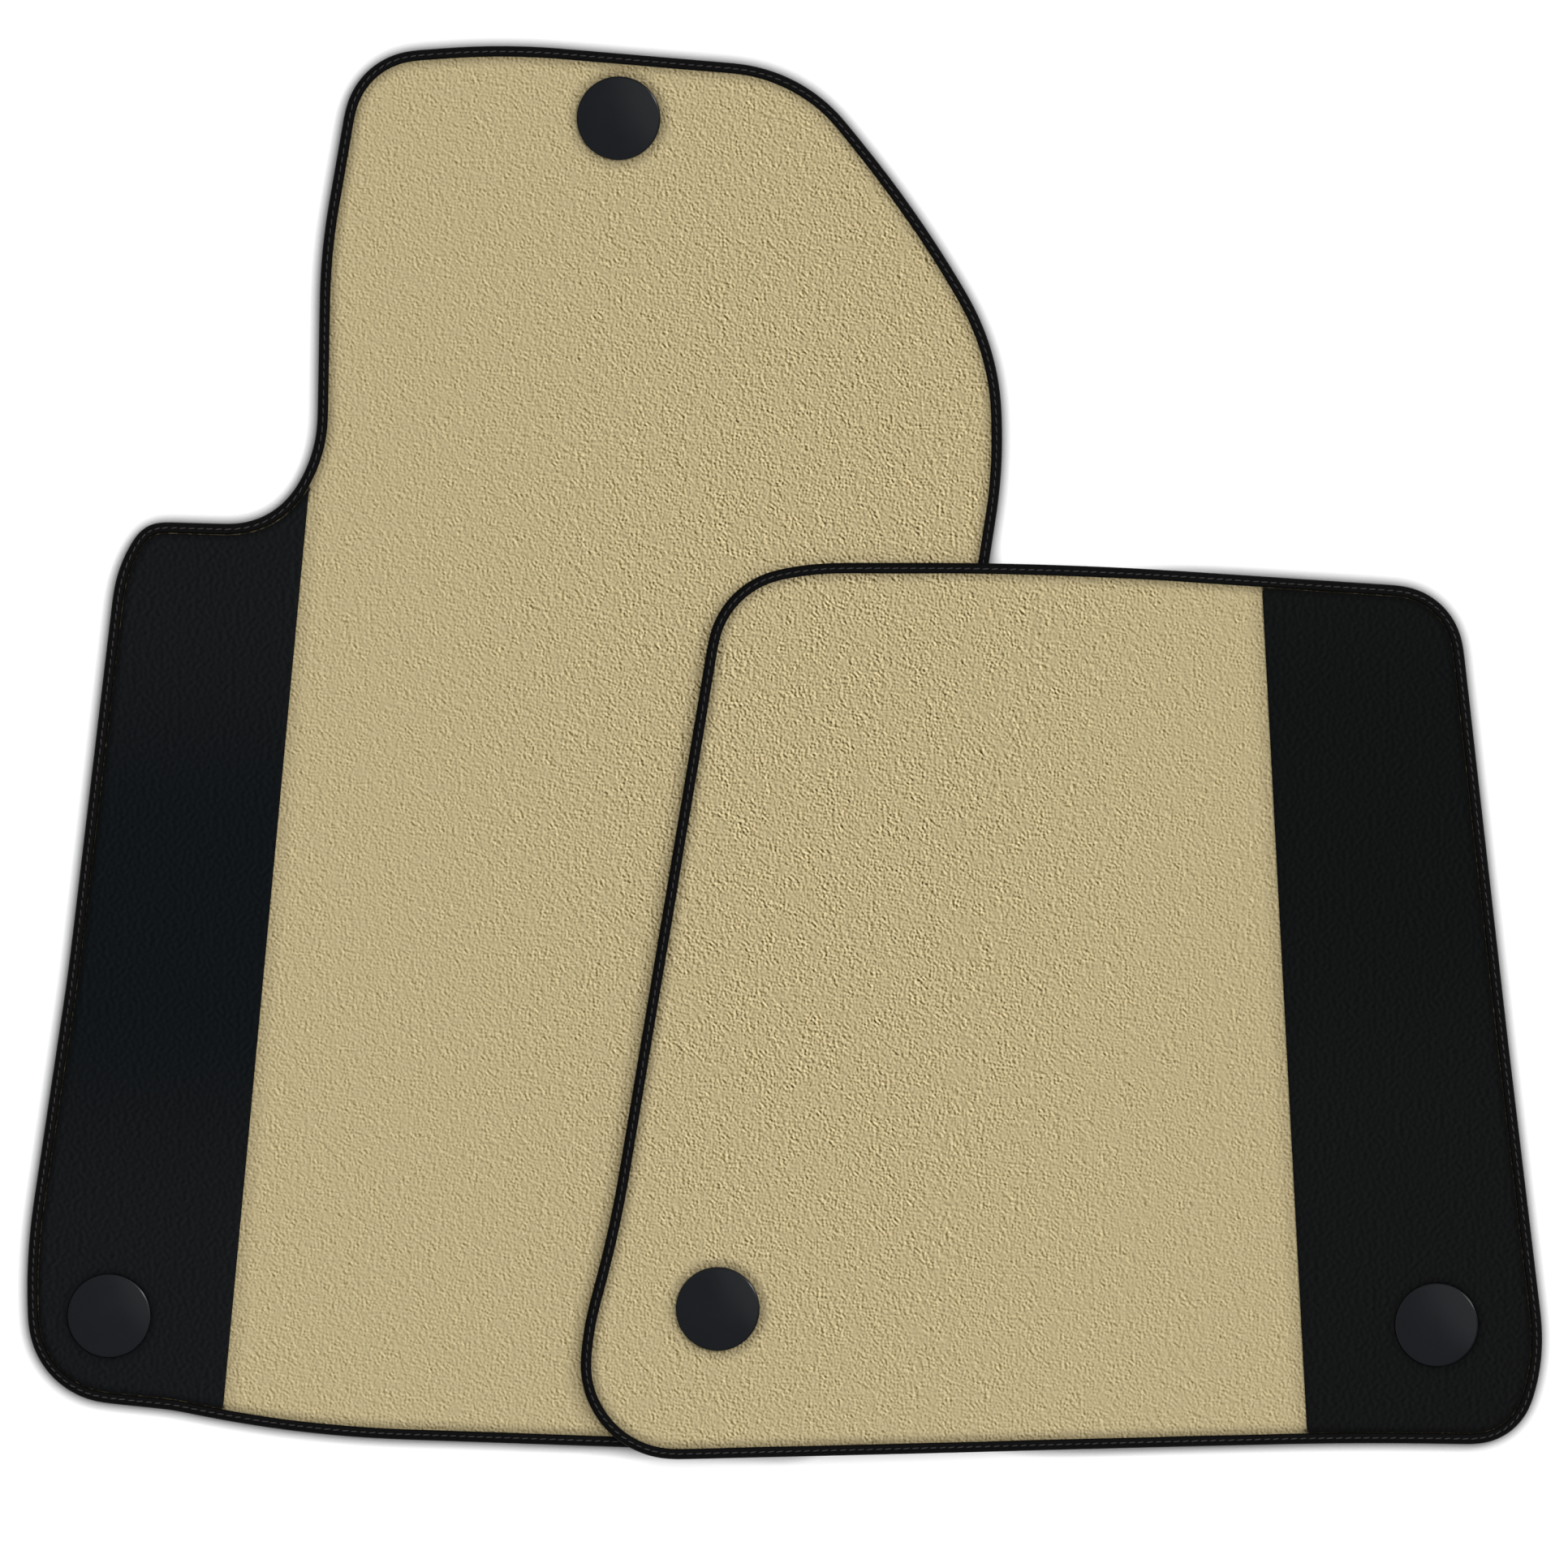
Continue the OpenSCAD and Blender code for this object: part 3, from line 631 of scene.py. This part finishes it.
def make_carpet(mat, edge, panel, lift, sites):
    centres = np.array([site_of(s) for s in sites])
    on_carpet = np.array([site_of(s) for s in sites if s not in ON_PANEL])
    close = hex_grid(edge, PILE_STEP[mat], seed=11)
    close = close[edge.depth(close) > PILE_FIRST]
    close = close[panel.depth(close) < CLOSE_END]
    wide = hex_grid(edge, WIDE_STEP)
    wide = wide[(edge.depth(wide) > WIDE_STEP) & (panel.depth(wide) > WIDE_START)]
    over = np.vstack([close, wide])
    over = over[from_nearest(centres, over) > PILE_HOLE_ROOM]
    loops = [edge.row(PILE_EDGE, RIM_STEP)] + [ring(c, PILE_HOLE, HOLE_SIDES) for c in centres]
    rng = np.random.default_rng(5)

    def top(p):
        d, inside = edge.depth(p), panel.depth(p)
        z = PILE_RIM + (PILE_TOP - PILE_RIM) * smoothstep(*PILE_RISE, d)
        height = LUMP * (1 + LUMP_VARIES * noise(p, LUMP_PATCH, 3))
        lump = LUMP_ROUGH * rng.normal(size=len(p)) + LUMP_SMOOTH * noise(p, LUMP_WIDTH, 4)
        z = z + height * lump * smoothstep(*LUMP_RISE, d) * (inside < LUMPS_END)
        z = z - DENT * (1 - smoothstep(*DENT_ENDS, from_nearest(on_carpet, p)))
        return lift(p) + np.where(inside > HELD_FROM, np.minimum(z, PANEL_LOW - HELD_GAP), z)

    # Painted shade: darker beside the tape, the panel's edge and the caps, and darkest in the strip
    # between tape and panel
    def shade(p):
        by_tape = brightness(*PILE_BY_TAPE, edge.depth(p) - TAPE_W)
        by_panel = brightness(*PILE_BY_PANEL, -panel.depth(p))
        by_cap = brightness(*PILE_BY_CAP, from_nearest(on_carpet, p) - CAP_R)
        strip = (edge.depth(p) < TAPE_W + STRIP_W) & (panel.depth(p) > -STRIP_PAST)
        return by_tape * by_panel * by_cap * np.where(strip, STRIP_SHADE, 1)

    under = hidden_grid(edge, centres, STEM_ROOM)
    obj = solid(mat + "_pile", loops, over, top, under, lambda p: lift(p) + PILE_LOW)
    return with_shade(obj, shade)


# Spacing of the panel's points, and depth of the first from its edge
PANEL_STEP, PANEL_FIRST = 2.4 * MM, 2.6 * MM

# Hole for the cap in the panel: its radius and sides, and the radius that the panel's points keep clear
PANEL_HOLE, PANEL_HOLE_SIDES, PANEL_HOLE_ROOM = CAP_R + 0.03 * MM, 96, 26 * MM

# Rows of points that round the panel's edge, as depths from it, and the least share of those they keep
PANEL_ROWS, PANEL_ROW_GAP = (0.3 * MM, 0.75 * MM, 1.5 * MM), 0.8

# Rings of points that round the edge of the cap's hole, and how far hidden points stay from its middle
PANEL_RINGS, PANEL_RING_ROOM = (0.3 * MM, 0.85 * MM, 1.85 * MM), 30 * MM

# Rounded edge of the panel: how far it drops, over what depth, and how sharply
PANEL_DROP, PANEL_ROUND, PANEL_SHARP = 1.15 * MM, 0.75 * MM, 1.5

# Ripples and pits in the panel: height and width of each, and the depths over which they rise
RIPPLE, RIPPLE_WIDTH = 0.10 * MM, (6 * MM, 13 * MM)
PITS, PITS_WIDTH = 0.05 * MM, 3 * MM
RIPPLE_RISE = (0.5 * MM, 3 * MM)

# Painted shade of the panel beside the tape and a cap: its brightness there, and distances over which it
# climbs to 1
PANEL_BY_TAPE, PANEL_BY_CAP = (0.45, 0, 4.5 * MM), (0.70, 0, 5 * MM)


def make_panel(mat, edge, panel, lift, site):
    centre = site_of(site)

    def from_hole(p):
        return np.linalg.norm(p - centre, axis=1) - PANEL_HOLE

    xy = hex_grid(panel, PANEL_STEP, seed=21)
    xy = xy[panel.depth(xy) > PANEL_FIRST]
    xy = xy[from_nearest(centre[None], xy) > PANEL_HOLE_ROOM]
    loops = [panel.row(0, RIM_STEP), ring(centre, PANEL_HOLE, PANEL_HOLE_SIDES)]
    rows = [(panel.row(d, RIM_STEP), PANEL_ROW_GAP * d) for d in PANEL_ROWS]
    rows = [row[(panel.depth(row) > gap) & (gap_to(loops[0], row) > gap)] for row, gap in rows]
    rings = [ring(centre, PANEL_HOLE + gap, PANEL_HOLE_SIDES) for gap in PANEL_RINGS]

    def top(p):
        d = np.minimum(panel.depth(p), from_hole(p))
        ripple = RIPPLE * noise(p, RIPPLE_WIDTH, 31) + PITS * noise(p, PITS_WIDTH, 32)
        edge_drop = PANEL_DROP * np.exp(-((np.maximum(d, 0) / PANEL_ROUND) ** PANEL_SHARP))
        return lift(p) + PANEL_TOP - edge_drop + ripple * smoothstep(*RIPPLE_RISE, d)

    # Painted shade: darker beside the tape and round the cap
    def shade(p):
        by_tape = brightness(*PANEL_BY_TAPE, edge.depth(p) - TAPE_W)
        return by_tape * brightness(*PANEL_BY_CAP, from_hole(p))

    under = hidden_grid(panel, centre[None], PANEL_RING_ROOM)
    over = np.vstack([xy, *rows, *rings])
    obj = solid(mat + "_panel", loops, over, top, under, lambda p: lift(p) + PANEL_LOW)
    return with_shade(obj, shade)


# Section of the binding: [in from the edge, height], from the lower leg round the outside and back inside
TAPE_SECTION = np.array([
    [5.50, 0.95], [5.32, 0.62], [4.6, 0.50], [3.2, 0.50], [1.8, 0.60], [0.55, 1.10], [-0.2, 2.2],
    [-0.4, 4.1], [-0.28, 6.0], [0.25, 7.25], [1.15, 7.92], [2.1, 8.15], [2.8, 8.20], [3.6, 8.18],
    [4.5, 8.08], [5.2, 7.86], [5.5, 7.5], [5.3, 7.22], [4.0, 7.26], [2.2, 7.22], [1.3, 6.7],
    [0.95, 5.2], [0.95, 3.0], [1.3, 1.9], [2.2, 1.42], [4.0, 1.40], [5.3, 1.36],
]) * MM

# The section's first points are its outside, and those of them above this height are the upper leg's face
TAPE_OUTSIDE, TAPE_UPPER = 17, 7 * MM

# The seam presses the upper leg down and puckers it
TAPE_PRESSED, TAPE_PUCKER = 0.05 * MM, 0.07 * MM

# Points further in than this are the tape's inner edges, which waver by this much over such a length
TAPE_INNER, TAPE_WAVER, WAVER_LENGTH = 5 * MM, 0.10 * MM, 30 * MM

# Stitches, the depth of their seam from the mat's edge, and rings of the tape's points to a stitch
STITCH_PITCH, STITCH_LENGTH, STITCH_WIDTH = 5.0 * MM, 3.5 * MM, 0.65 * MM
SEAM_DEPTH, RINGS_A_STITCH = 2.75 * MM, 4


def make_tape(mat, edge, lift):
    stitches = round(edge.length / STITCH_PITCH)
    count = stitches * RINGS_A_STITCH
    s = np.arange(count) * edge.length / count
    pucker = TAPE_PUCKER * np.cos(2 * math.pi * s / (edge.length / stitches))
    waver = TAPE_WAVER * noise(np.stack([s, s * 0], axis=1), WAVER_LENGTH, 41)
    base = lift(edge.at(s, np.full(count, SEAM_DEPTH)))
    size = len(TAPE_SECTION)
    points, uv = [], []
    across = np.r_[0, np.cumsum(np.linalg.norm(np.diff(TAPE_SECTION, axis=0), axis=1))]
    for k, (d, z) in enumerate(TAPE_SECTION):
        sewn = k < TAPE_OUTSIDE and z > TAPE_UPPER
        xy = edge.at(s, np.full(count, d) + (waver if d > TAPE_INNER else 0))
        points.append(np.c_[xy, base + z - (pucker + TAPE_PRESSED if sewn else 0)])
        uv.append(np.stack([s, np.full(count, across[k])], axis=1))
    points = np.stack(points, axis=1).reshape(-1, 3)
    uv = np.stack(uv, axis=1).reshape(-1, 2)
    faces = []
    for i in range(count):
        j = (i + 1) % count
        for k in range(size):
            m = (k + 1) % size
            faces.append((i * size + k, j * size + k, j * size + m, i * size + m))
    obj = new_object(mat + "_tape", points, faces, smooth_below=60)
    layer = obj.data.uv_layers.new(name="tape")
    corner = np.empty(len(obj.data.loops), np.int32)
    obj.data.loops.foreach_get("vertex_index", corner)
    layer.data.foreach_set("uv", uv[corner].astype(np.float32).ravel())
    return obj


# Height of a stitch's ends and rise of its bow, on the upper and the lower leg
STITCH_UPPER, STITCH_LOWER = (8.12 * MM, 0.14 * MM), (0.55 * MM, -0.08 * MM)

# Rings of points along a stitch and sides round it, then its ends and its thickness as shares of its width
STITCH_RINGS, STITCH_SIDES = 6, 6
STITCH_END, STITCH_FLAT = 0.45, 0.7


def make_stitches(mat, edge, lift):
    """Separate stitches along the binding's upper and lower legs, each a short bowed strand."""
    count = round(edge.length / STITCH_PITCH)
    t = np.linspace(-1, 1, STITCH_RINGS)
    points, faces = [], []
    rng = np.random.default_rng(61)
    for over in (True, False):
        height, bow = STITCH_UPPER if over else STITCH_LOWER
        z = height + bow * np.sqrt(np.maximum(1 - t**2, 0))
        for k in range(count):
            slip = rng.uniform(-0.2, 0.2) * MM
            size = rng.uniform(0.92, 1.08)
            slant = rng.uniform(0.1, 0.3) * MM
            s = (k + (0 if over else 0.5)) * edge.length / count + slip + t * size * STITCH_LENGTH / 2
            xy = edge.at(s, SEAM_DEPTH + t * slant * (1 if over else -1))
            line = np.c_[xy, lift(xy) + z]
            ahead = line[-1] - line[0]
            side = np.array([-ahead[1], ahead[0], 0])
            side /= np.linalg.norm(side)
            start = len(points)
            for r in range(STITCH_RINGS):
                swell = STITCH_END + (1 - STITCH_END) * math.sqrt(max(1 - t[r] ** 4, 0))
                half = STITCH_WIDTH / 2 * swell
                for q in range(STITCH_SIDES):
                    turn = 2 * math.pi * q / STITCH_SIDES
                    up = np.array([0, 0, math.sin(turn) * half * STITCH_FLAT])
                    points.append(line[r] + side * math.cos(turn) * half + up)
            for r in range(STITCH_RINGS - 1):
                row = start + r * STITCH_SIDES
                for q in range(STITCH_SIDES):
                    a, b = row + q, row + (q + 1) % STITCH_SIDES
                    faces.append((a, b, b + STITCH_SIDES, a + STITCH_SIDES))
            faces.append(tuple(start + STITCH_SIDES - 1 - q for q in range(STITCH_SIDES)))
            last = start + (STITCH_RINGS - 1) * STITCH_SIDES
            faces.append(tuple(last + q for q in range(STITCH_SIDES)))
    return new_object(mat + "_stitches", points, faces, smooth_below=70)


# Grip nubs: spacing, space to the mat's edge and to a fastener, radii of foot and tip, and sides
NUB_STEP, NUB_FROM_EDGE, NUB_FROM_SITE = 14 * MM, 13 * MM, 25 * MM
NUB_FOOT, NUB_TIP, NUB_SIDES = 1.7 * MM, 1.05 * MM, 8

# Backing in plan: depth of its edge, radius of a fastener's hole, and spacing of points along its rows
RUBBER_EDGE, RUBBER_HOLE, RUBBER_STEP = 1.3 * MM, 11.9 * MM, 3 * MM

# Depth at which the rim under the tape ends, and the rows of points on both sides of that step
RIM_END, RIM_ROWS = 5.9 * MM, (5.7 * MM, 6.2 * MM, 9.0 * MM)

# Recess for a socket: radius, height, and the rings of points on both sides of its edge
RECESS_END, RECESS_Z = 19.45 * MM, 2.25 * MM
RECESS_RINGS = (19.3 * MM, 19.6 * MM, 21.5 * MM)


def make_rubber(mat, edge, lift, sites):
    """The backing, with a rim that the binding folds under and small grip nubs on its underside."""
    centres = np.array([site_of(s) for s in sites])
    nubs = hex_grid(edge, NUB_STEP)
    nubs = nubs[(edge.depth(nubs) > NUB_FROM_EDGE) & (from_nearest(centres, nubs) > NUB_FROM_SITE)]
    foot, tip = (ring((0, 0), radius, NUB_SIDES) for radius in (NUB_FOOT, NUB_TIP))
    nub_points = (nubs[:, None] + np.vstack([foot, tip])[None]).reshape(-1, 2)
    digits = 7
    tips = set(map(tuple, np.round((nubs[:, None] + tip[None]).reshape(-1, 2), digits).tolist()))
    rows = [edge.row(d, RUBBER_STEP) for d in RIM_ROWS]
    rings = [ring(c, r, HOLE_SIDES) for c in centres for r in RECESS_RINGS]
    loops = [edge.row(RUBBER_EDGE, RUBBER_STEP)] + [ring(c, RUBBER_HOLE, HOLE_SIDES) for c in centres]

    def bottom(p):
        z = np.where(edge.depth(p) < RIM_END, RUBBER_RIM, RUBBER_LOW)
        z = np.where(from_nearest(centres, p) < RECESS_END, RECESS_Z, z)
        on_tip = np.array([tuple(q) in tips for q in np.round(p, digits).tolist()])
        return lift(p) + np.where(on_tip, 0, z)

    over = hidden_grid(edge, centres, STEM_ROOM)
    under = np.vstack([nub_points, *rows, *rings])
    return solid(mat + "_rubber", loops, over, lambda p: lift(p) + RUBBER_TOP, under, bottom)


# Cap: height of its rim over its seat, rise of its crown, its sides, and rings of points on the crown
CAP_RIM, CAP_CROWN, CAP_SEGMENTS, CAP_RINGS = 2.4 * MM, 0.9 * MM, 128, 14

# Bevelled edge of a cap: its width, its steps as [out, down] from the crown, and the rounding below it
CAP_EDGE, CAP_ROUND = 1.0 * MM, 0.25 * MM
CAP_EDGE_STEPS = np.array([[0.65, 0.29], [0.83, 0.44], [0.95, 0.68], [1.0, 0.95]]) * MM

# Stem of a cap and the bore in it: radii at mouth, wall and floor, depth, chamfer, and the innermost ring
STEM_R, BORE_MOUTH, BORE_R, BORE_FLOOR = 9.5 * MM, 6.7 * MM, 6.36 * MM, 6.0 * MM
BORE_DEPTH, CHAMFER, INNERMOST = 3.4 * MM, 0.3 * MM, 0.4 * MM


def make_cap(name):
    """A crowned cap and its stem, turned about the fastener's axis."""
    low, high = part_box(name + "_cap")
    x, y = site_of(name)
    seat = high[2] - low[2] - CAP_RIM - CAP_CROWN
    rim, flat = seat + CAP_RIM, CAP_R - CAP_EDGE
    radii = np.linspace(INNERMOST, flat, CAP_RINGS)
    crown = [(r, rim + CAP_CROWN * (1 - (r / flat) ** 2)) for r in radii]
    bevel = [(flat + out, rim - down) for out, down in CAP_EDGE_STEPS]
    seating = [(CAP_R, seat + CAP_ROUND), (CAP_R - CAP_ROUND, seat), (STEM_R + CHAMFER, seat)]
    stem = [(STEM_R, seat - CHAMFER), (STEM_R, CHAMFER), (STEM_R - CHAMFER, 0)]
    bore = [(BORE_MOUTH, 0), (BORE_R, CHAMFER), (BORE_R, BORE_DEPTH - CHAMFER), (BORE_FLOOR, BORE_DEPTH)]
    section = crown + bevel + seating + stem + bore + [(INNERMOST, BORE_DEPTH)]
    size = len(section)
    points = [(x, y, low[2] + rim + CAP_CROWN), (x, y, low[2] + BORE_DEPTH)]
    for i in range(CAP_SEGMENTS):
        turn = 2 * math.pi * i / CAP_SEGMENTS
        c, s = math.cos(turn), math.sin(turn)
        points += [(x + r * c, y + r * s, low[2] + z) for r, z in section]
    faces, finish = [], []
    for i in range(CAP_SEGMENTS):
        a, b = 2 + i * size, 2 + (i + 1) % CAP_SEGMENTS * size
        faces.append((0, a, b))
        faces.append((1, b + size - 1, a + size - 1))
        faces += [(a + k, a + k + 1, b + k + 1, b + k) for k in range(size - 1)]
        finish += [0, 0] + [int(0 <= k - len(crown) + 1 < len(bevel)) for k in range(size - 1)]
    button = new_object(name + "_button", points, faces, smooth_below=14)
    button.data.polygons.foreach_set("material_index", finish)
    return button


# How far the corners of the CAD outlines are smoothed
EDGE_BLUR, PANEL_BLUR = 3.0 * MM, 1.2 * MM

for mat, sites in MATS.items():
    body = mat + "_mat"
    edge = Outline(upper_outline(mat + "_edge_binding"), EDGE_BLUR)
    panel = Outline(upper_outline(mat + "_side_panel"), PANEL_BLUR)
    lift = lift_of(mat + "_edge_binding")
    rubber = dress(make_rubber(mat, edge, lift, sites), mat + "_backing", body, RUBBER)
    tape = dress(make_tape(mat, edge, lift), mat + "_edge_binding", body, TAPE)
    thread = dress(make_stitches(mat, edge, lift), mat + "_binding_thread", body, THREAD)
    pile = dress(make_carpet(mat, edge, panel, lift, sites), mat + "_carpet", body, BEIGE)
    np.ptp(edge.points, axis=0)
    on_panel = next(s for s in sites if s in ON_PANEL)
    cover = make_panel(mat, edge, panel, lift, on_panel)
    dress(cover, mat + "_side_panel", body, panel_material(mat))
    np.ptp(panel.points, axis=0)
    for site in sites:
        button = dress(make_cap(site), site + "_cap", body, CAP_FACE)
        button.data.materials.append(CAP_BEVEL)
        for part, material in (("_socket", SOCKET), ("_snap_ring", STEEL)):
            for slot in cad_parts[site + part].material_slots:
                slot.link = "OBJECT"
                slot.material = material

# Floor, light and camera
FLOOR_HALF, FLOOR_Z = 20.0, -0.05 * MM
corners = [(x * FLOOR_HALF, y * FLOOR_HALF, FLOOR_Z) for x, y in ((-1, -1), (1, -1), (1, 1), (-1, 1))]
floor = new_object("floor", corners, [(0, 1, 2, 3)])
floor.data.materials.append(floor_material())

# A pale dome, brightest straight overhead
DOME = {"From Min": 0.5, "From Max": 1.0, "To Min": 0.2, "To Max": 1.86}
world = bpy.data.worlds.new("studio")
sky = Graph(world)
heading = sky.add("TexCoord").outputs["Generated"]
rise = sky.add("SeparateXYZ", {0: heading}).outputs["Z"]
glow = sky.add("MapRange", {"Value": rise, **DOME}, interpolation_type="SMOOTHSTEP").outputs[0]
background = sky.tree.nodes["Background"]
background.inputs["Color"].default_value = (1.0, 1.0, 1.0, 1)
sky.put(glow, background.inputs["Strength"])
bpy.context.scene.world = world


def add_sun(name, zenith, turn, spread, level):
    """A distant light, zenith degrees off the vertical and turn degrees from +X.

    Its level is the share of full white that it gives a level floor.
    """
    sun = bpy.data.lights.new(name, "SUN")
    sun.energy = level * math.pi / math.cos(math.radians(zenith))
    sun.angle = math.radians(spread)
    obj = bpy.data.objects.new(name, sun)
    obj.rotation_euler = (0, math.radians(zenith), math.radians(turn))
    bpy.context.scene.collection.objects.link(obj)


add_sun("key", zenith=26, turn=30, spread=46, level=0.29)
add_sun("side", zenith=48, turn=32, spread=8, level=0.10)

# The camera looks straight down at this place, and its frame is this wide at the top of the pile
CAMERA_AIM, FRAME_WIDTH = (-0.0004, -0.01752), 0.8694
LENS, SENSOR, CLIP_END = 400.0, 36.0, 200.0
lens = bpy.data.cameras.new("camera")
lens.lens, lens.sensor_width, lens.clip_end = LENS, SENSOR, CLIP_END
camera = bpy.data.objects.new("camera", lens)
camera.location = (*CAMERA_AIM, FRAME_WIDTH * LENS / SENSOR + PILE_TOP)
bpy.context.scene.collection.objects.link(camera)
bpy.context.scene.camera = camera
bpy.context.scene.view_settings.view_transform = "Standard"
